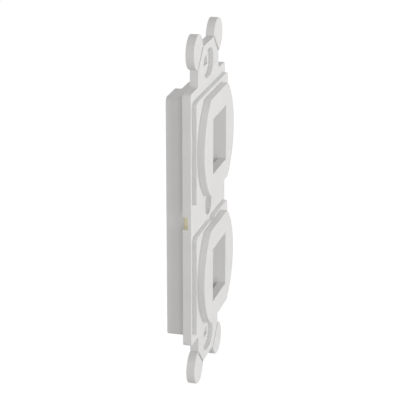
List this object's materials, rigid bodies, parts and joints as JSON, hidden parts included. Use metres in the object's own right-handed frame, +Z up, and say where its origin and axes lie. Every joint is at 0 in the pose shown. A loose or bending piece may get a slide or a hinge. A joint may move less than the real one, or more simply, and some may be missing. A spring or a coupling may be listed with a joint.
{
  "type": "keystone module frame",
  "caption": "Flat wall-box frame with duplex-shaped raised faces, each open for a snap-in jack, and slotted screw ears whose round corner discs snap off.",
  "frame": {"origin": "on the front of the mounting strap, at the axis of the centre screw, halfway between the yoke screw slots", "axes": "+X to the right seen from the front, +Y to the back (into the wall box), +Z up along the strap"},
  "size_m": [0.0384, 0.0111, 0.1042],
  "materials": {
    "moulded_plastic": "satin"
  },
  "bodies": {
    "root": {"module_frame": "moulded_plastic"}
  },
  "joints": []
}
